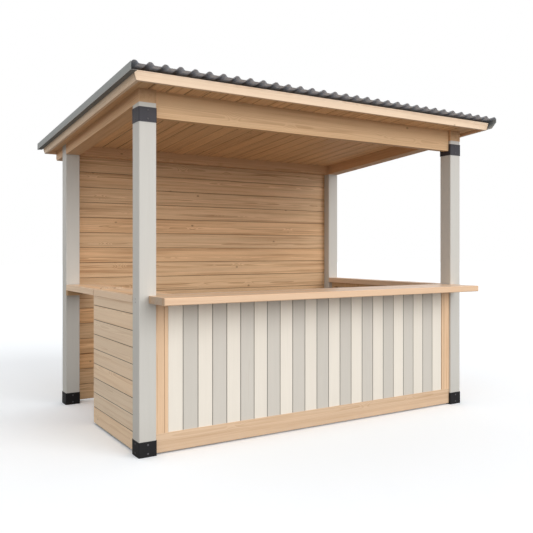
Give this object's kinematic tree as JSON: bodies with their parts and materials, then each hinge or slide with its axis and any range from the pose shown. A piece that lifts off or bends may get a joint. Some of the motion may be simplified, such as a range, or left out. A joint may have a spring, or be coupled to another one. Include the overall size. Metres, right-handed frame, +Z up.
{
  "type": "wooden market stall",
  "caption": "Timber market stall with a corrugated lean-to roof, boarded back and low panels, serving counters and a lifting counter flap over its side doorway.",
  "frame": {"origin": "middle of the footprint of the four posts, at ground level", "axes": "+X along the front from left to right as seen by a customer, +Y from front to back, +Z up"},
  "size_m": [3.309, 2.419, 2.5074],
  "materials": {
    "post_paint": "pale warm grey paint on timber",
    "planed_wood": "planed pale softwood, clear oil",
    "counter_wood": "planed pale softwood, clear oil",
    "wall_boards_wood": "brown stained boards",
    "ceiling_wood": "brown stained boards",
    "side_boards_wood": "pale stained boards",
    "rough_wood": "sawn softwood",
    "cream_paint": "cream paint on boards",
    "grey_paint": "warm grey paint on boards",
    "black_steel": "black powder coat",
    "roof_sheet_metal": "dark grey coated sheet, slightly satin",
    "trim_metal": "mid grey coated sheet",
    "hinge_steel": "zinc-plated steel",
    "screw_steel": "zinc-plated screw heads"
  },
  "bodies": {
    "stall": {"back_beam": "planed_wood", "back_wall": "wall_boards_wood", "barge_board_left": "planed_wood", "barge_board_right": "planed_wood", "ceiling_boards": "ceiling_wood", "collar_left": "black_steel", "collar_right": "black_steel", "counter_front": "counter_wood", "counter_left": "counter_wood", "counter_right": "counter_wood", "fascia_back": "planed_wood", "fascia_front": "planed_wood", "flap_rest": "rough_wood", "front_beam": "planed_wood", "front_boards": "cream_paint", "front_bottom_rail": "planed_wood", "front_stile_left": "planed_wood", "front_stile_right": "planed_wood", "front_top_rail": "rough_wood", "hinge_1_fixed_leaf": "hinge_steel", "hinge_2_fixed_leaf": "hinge_steel", "post_back_left": "post_paint", "post_back_right": "post_paint", "post_front_left": "post_paint", "post_front_right": "post_paint", "purlin_1": "rough_wood", "purlin_2": "rough_wood", "purlin_3": "rough_wood", "purlin_4": "rough_wood", "roof_sheet": "roof_sheet_metal", "shoe_back_left": "black_steel", "shoe_back_right": "black_steel", "shoe_front_left": "black_steel", "shoe_front_right": "black_steel", "side_beam_left": "planed_wood", "side_beam_right": "planed_wood", "side_boards_left": "side_boards_wood", "side_boards_right": "side_boards_wood", "side_frame_left": "rough_wood", "side_frame_right": "rough_wood", "verge_trim_left": "trim_metal", "verge_trim_right": "trim_metal", "wall_cleat_left": "wall_boards_wood", "wall_cleat_right": "wall_boards_wood"},
    "flap": {"counter_flap": "counter_wood", "hinge_1_flap_leaf": "hinge_steel", "hinge_2_flap_leaf": "hinge_steel"}
  },
  "joints": [
    {"name": "flap_lift", "type": "hinge", "parent": "stall", "child": "flap", "pos_m": [-1.355, 0.034, 1.061], "axis": [1, 0, 0], "range_deg": [0, 180]}
  ]
}
